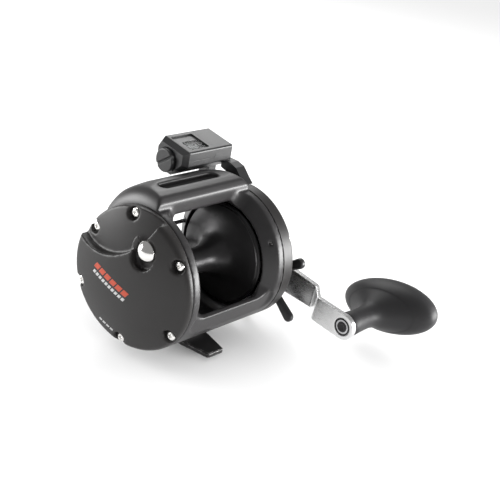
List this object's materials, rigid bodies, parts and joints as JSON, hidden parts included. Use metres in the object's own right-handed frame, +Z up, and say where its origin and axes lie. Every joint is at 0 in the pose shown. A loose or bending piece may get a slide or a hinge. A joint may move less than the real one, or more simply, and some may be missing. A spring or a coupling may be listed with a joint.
{
  "type": "trolling reel",
  "caption": "Level-wind trolling reel with domed side plates, star drag, single crank with a paddle knob and a mechanical line counter.",
  "frame": {"origin": "centre of the reel foot's underside, in the middle between the side plates", "axes": "+X along the spool axis towards the handle, +Y towards the rod tip, +Z up from the rod to the reel"},
  "size_m": [0.1675, 0.1514, 0.1075],
  "materials": {
    "graphite": "satin moulded graphite",
    "dark_frame": "satin black paint",
    "black_plastic": "fine matt",
    "screw_chrome": "bright nickel",
    "spool_black": "black anodised",
    "steel": "machined",
    "brass": "machined",
    "handle_metal": "brushed",
    "soft_grip": "soft touch",
    "white_plastic": "moulded",
    "lens": "clear",
    "fibre": "woven carbon",
    "foot_metal": "black anodised"
  },
  "bodies": {
    "frame_body": {"counter_body": "black_plastic", "counter_cover": "black_plastic", "counter_drive_housing": "black_plastic", "counter_end_cap": "black_plastic", "counter_lens": "lens", "frame": "dark_frame", "gear_bridge_plate": "steel", "gear_studs": "steel", "guide_rod": "steel", "inner_screws": "steel", "left_side_plate": "graphite", "plate_screws": "screw_chrome", "reel_foot": "foot_metal", "right_side_plate": "graphite", "roller_clutch": "steel", "shaft_bushings": "brass", "spool_bearings": "steel"},
    "drive": {"drive_shaft": "steel", "main_gear": "brass", "ratchet_wheel": "steel", "drag_washers": "fibre", "drag_pressure_plate": "steel", "drag_sleeve": "steel", "drag_spring_washers": "steel", "handle_spacer": "steel", "handle_arm": "handle_metal", "handle_nut": "screw_chrome", "nut_retainer": "steel", "knob_spindle": "steel"},
    "star": {"star_drag": "black_plastic", "drag_nut": "brass"},
    "knob": {"knob": "soft_grip", "knob_bushings": "white_plastic"},
    "spool": {"spool": "spool_black", "spool_shaft": "steel", "clutch_pin": "steel", "spool_gear": "white_plastic", "click_ratchet": "brass"},
    "yoke": {"clutch_yoke": "white_plastic", "yoke_springs": "steel"},
    "pinion": {"pinion_gear": "brass"},
    "clutch_lever": {"clutch_lever": "black_plastic"},
    "idler": {"spool_gear_idler": "white_plastic"},
    "worm": {"worm_shaft": "steel", "worm_gears": "white_plastic"},
    "line_guide": {"line_guide": "black_plastic", "line_guide_pawl": "brass", "pawl_cap": "steel"},
    "clicker": {"clicker_button": "screw_chrome", "click_tongue": "steel"},
    "dog": {"anti_reverse_dog": "steel"},
    "tension_cap": {"tension_cap": "black_plastic"},
    "lay_shaft": {"counter_lay_shaft": "steel"},
    "counter_input": {"counter_input_shaft": "steel", "units_wheel": "white_plastic"},
    "tens": {"tens_wheel": "white_plastic"},
    "hundreds": {"hundreds_wheel": "white_plastic"},
    "transfer": {"transfer_pinions": "white_plastic"},
    "reset": {"reset_knob": "black_plastic"}
  },
  "joints": [
    {"name": "handle_turn", "type": "hinge", "parent": "frame_body", "child": "drive", "pos_m": [0.04, -0.0111, 0.0297], "axis": [1, 0, 0], "continuous": true},
    {"name": "star_turn", "type": "hinge", "parent": "drive", "child": "star", "pos_m": [0.054, -0.0111, 0.0297], "axis": [1, 0, 0], "range_deg": [-270, 270]},
    {"name": "knob_spin", "type": "hinge", "parent": "drive", "child": "knob", "pos_m": [0.066, -0.07501, 0.02635], "axis": [1, 0, 0], "continuous": true},
    {"name": "spool_spin", "type": "hinge", "parent": "frame_body", "child": "spool", "pos_m": [0, 0, 0.045], "axis": [1, 0, 0], "continuous": true},
    {"name": "clutch_lever_swing", "type": "hinge", "parent": "frame_body", "child": "clutch_lever", "pos_m": [0.045, -0.016, 0.066], "axis": [1, 0, 0], "range_deg": [0, 35]},
    {"name": "yoke_shift", "type": "slide", "parent": "frame_body", "child": "yoke", "axis": [1, 0, 0], "range_m": [0, 0.002]},
    {"name": "pinion_spin", "type": "hinge", "parent": "yoke", "child": "pinion", "pos_m": [0.04, 0, 0.045], "axis": [1, 0, 0], "continuous": true},
    {"name": "idler_spin", "type": "hinge", "parent": "frame_body", "child": "idler", "pos_m": [-0.039, 0.01687, 0.04141], "axis": [1, 0, 0], "continuous": true},
    {"name": "worm_spin", "type": "hinge", "parent": "frame_body", "child": "worm", "pos_m": [0, 0.03375, 0.03783], "axis": [1, 0, 0], "continuous": true},
    {"name": "line_guide_slide", "type": "slide", "parent": "frame_body", "child": "line_guide", "axis": [1, 0, 0], "range_m": [-0.016, 0.016]},
    {"name": "clicker_slide", "type": "slide", "parent": "frame_body", "child": "clicker", "axis": [0, 0.1959, -0.9806], "range_m": [0, 0.004]},
    {"name": "dog_swing", "type": "hinge", "parent": "frame_body", "child": "dog", "pos_m": [0.035, -0.027, 0.0455], "axis": [1, 0, 0], "range_deg": [-8, 0], "stiffness_Nm_per_rad": 0.002},
    {"name": "tension_cap_turn", "type": "hinge", "parent": "frame_body", "child": "tension_cap", "pos_m": [0.049, 0, 0.045], "axis": [1, 0, 0], "range_deg": [-180, 180]},
    {"name": "lay_shaft_spin", "type": "hinge", "parent": "frame_body", "child": "lay_shaft", "pos_m": [0.0379, 0.03375, 0.065], "axis": [0, 0, 1], "continuous": true},
    {"name": "counter_input_spin", "type": "hinge", "parent": "frame_body", "child": "counter_input", "pos_m": [0.02, 0.03375, 0.0934], "axis": [1, 0, 0], "continuous": true},
    {"name": "tens_wheel_spin", "type": "hinge", "parent": "frame_body", "child": "tens", "pos_m": [0.017, 0.03375, 0.0934], "axis": [1, 0, 0], "continuous": true},
    {"name": "hundreds_wheel_spin", "type": "hinge", "parent": "frame_body", "child": "hundreds", "pos_m": [0.012, 0.03375, 0.0934], "axis": [1, 0, 0], "continuous": true},
    {"name": "transfer_spin", "type": "hinge", "parent": "frame_body", "child": "transfer", "pos_m": [0.017, 0.02555, 0.0939], "axis": [1, 0, 0], "continuous": true},
    {"name": "reset_knob_turn", "type": "hinge", "parent": "frame_body", "child": "reset", "pos_m": [0.004, 0.03375, 0.0934], "axis": [1, 0, 0], "range_deg": [0, 330]}
  ],
  "couplings": [
    {"joint": "spool_spin", "follows": "handle_turn", "ratio": -4.25},
    {"joint": "pinion_spin", "follows": "handle_turn", "ratio": -4.25},
    {"joint": "idler_spin", "follows": "handle_turn", "ratio": 0.89474},
    {"joint": "worm_spin", "follows": "handle_turn", "ratio": -4.25},
    {"joint": "lay_shaft_spin", "follows": "handle_turn", "ratio": -4.25},
    {"joint": "counter_input_spin", "follows": "handle_turn", "ratio": 4.25},
    {"joint": "tens_wheel_spin", "follows": "handle_turn", "ratio": 0.425},
    {"joint": "hundreds_wheel_spin", "follows": "handle_turn", "ratio": 0.0425},
    {"joint": "transfer_spin", "follows": "handle_turn", "ratio": -2.125},
    {"joint": "yoke_shift", "follows": "clutch_lever_swing", "m_per_rad": 0.0032}
  ]
}
